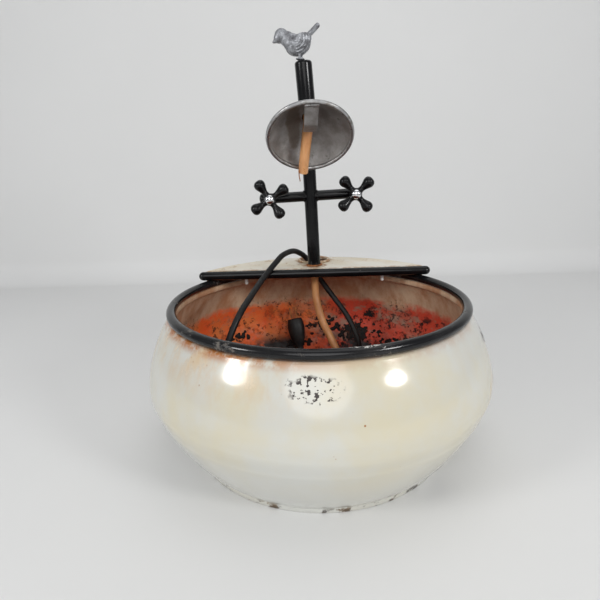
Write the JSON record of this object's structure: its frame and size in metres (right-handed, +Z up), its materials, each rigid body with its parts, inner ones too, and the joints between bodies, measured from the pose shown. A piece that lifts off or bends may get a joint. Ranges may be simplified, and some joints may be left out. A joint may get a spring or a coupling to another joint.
{
  "type": "drinking fountain",
  "caption": "Tabletop fountain: round enamelled bowl with a lift-off half lid that carries a tap stand, cross handles, a shower-cone spout and a bird.",
  "frame": {"origin": "centre of the foot ring, on the surface the bowl stands on", "axes": "+Z up along the bowl axis, -Y towards the open front of the bowl, +X to the right seen from the front"},
  "size_m": [0.346, 0.346, 0.4007],
  "materials": {
    "white_enamel": "gloss vitreous enamel over sheet steel, rust-stained below the rim",
    "black_enamel": "gloss black enamel",
    "cream_enamel": "worn cream enamel with rust bloom",
    "black_plastic": "moulded black plastic",
    "black_rubber": "soft black rubber",
    "grey_steel": "dull grey steel with water marks",
    "chrome": "bright plated screw head",
    "pewter": "silver painted casting with dark grooves",
    "rusty_steel": "rusted steel",
    "amber_vinyl": "yellowed clear vinyl",
    "white_plastic": "white plastic",
    "ceramic": "smooth ceramic",
    "magnet": "moulded ferrite"
  },
  "bodies": {
    "root": {"basin_base": "white_enamel", "basin_lower_wall": "white_enamel", "basin_shoulder": "white_enamel", "rim_bead": "black_enamel", "pump_housing": "black_plastic", "pump_intake_cover": "black_plastic", "pump_shaft": "ceramic", "pump_outlet": "black_plastic", "hose_lower": "amber_vinyl", "cord_strain_relief": "black_rubber", "cord_over_lid": "black_rubber", "cord_coil": "black_rubber", "cord_to_plug": "black_rubber", "plug_body": "black_rubber", "plug_left_prong": "rusty_steel", "plug_right_prong": "rusty_steel", "front_left_suction_cup": "black_rubber", "front_right_suction_cup": "black_rubber", "rear_left_suction_cup": "black_rubber", "rear_right_suction_cup": "black_rubber"},
    "lid": {"arm_tube": "black_enamel", "bird_finial": "pewter", "cable_hole_collar": "cream_enamel", "crossbar_left": "black_enamel", "crossbar_left_cap": "black_enamel", "crossbar_right": "black_enamel", "crossbar_right_cap": "black_enamel", "hose_strap": "grey_steel", "hose_upper": "amber_vinyl", "left_tap_stem": "black_enamel", "left_tap_washer": "black_rubber", "lid_front_roll": "black_enamel", "lid_left_locating_peg": "white_plastic", "lid_plate": "cream_enamel", "lid_right_locating_peg": "white_plastic", "pole_lock_nut": "rusty_steel", "pole_top_washer": "rusty_steel", "pole_tube": "black_enamel", "rear_elbow": "black_enamel", "right_tap_stem": "black_enamel", "right_tap_washer": "black_rubber", "shower_cone": "grey_steel", "shower_cone_rim": "grey_steel", "spout_ball_joint": "black_enamel", "spout_leg_cap": "black_enamel", "spout_leg_tube": "black_enamel"},
    "left_tap": {"left_cross_handle": "black_enamel", "left_handle_screw": "chrome"},
    "right_tap": {"right_cross_handle": "black_enamel", "right_handle_screw": "chrome"},
    "pump_rotor": {"pump_impeller": "magnet"},
    "flow_dial": {"pump_flow_dial": "black_plastic"}
  },
  "joints": [
    {"name": "lid_lift", "type": "slide", "parent": "root", "child": "lid", "axis": [0, 0, 1], "range_m": [0, 0.04], "deforming": ["cord_over_lid", "hose_lower"]},
    {"name": "left_tap_turn", "type": "hinge", "parent": "lid", "child": "left_tap", "pos_m": [-0.04909, 0.0799, 0.24785], "axis": [0, -1, 0], "continuous": true},
    {"name": "right_tap_turn", "type": "hinge", "parent": "lid", "child": "right_tap", "pos_m": [0.04886, 0.0799, 0.25119], "axis": [0, -1, 0], "continuous": true},
    {"name": "pump_impeller_spin", "type": "hinge", "parent": "root", "child": "pump_rotor", "pos_m": [0.061, 0.06, 0.027], "axis": [0, -1, 0], "continuous": true},
    {"name": "pump_flow_turn", "type": "hinge", "parent": "root", "child": "flow_dial", "pos_m": [0.0177, 0.074, 0.027], "axis": [-1, 0, 0], "range_deg": [0, 90]}
  ]
}
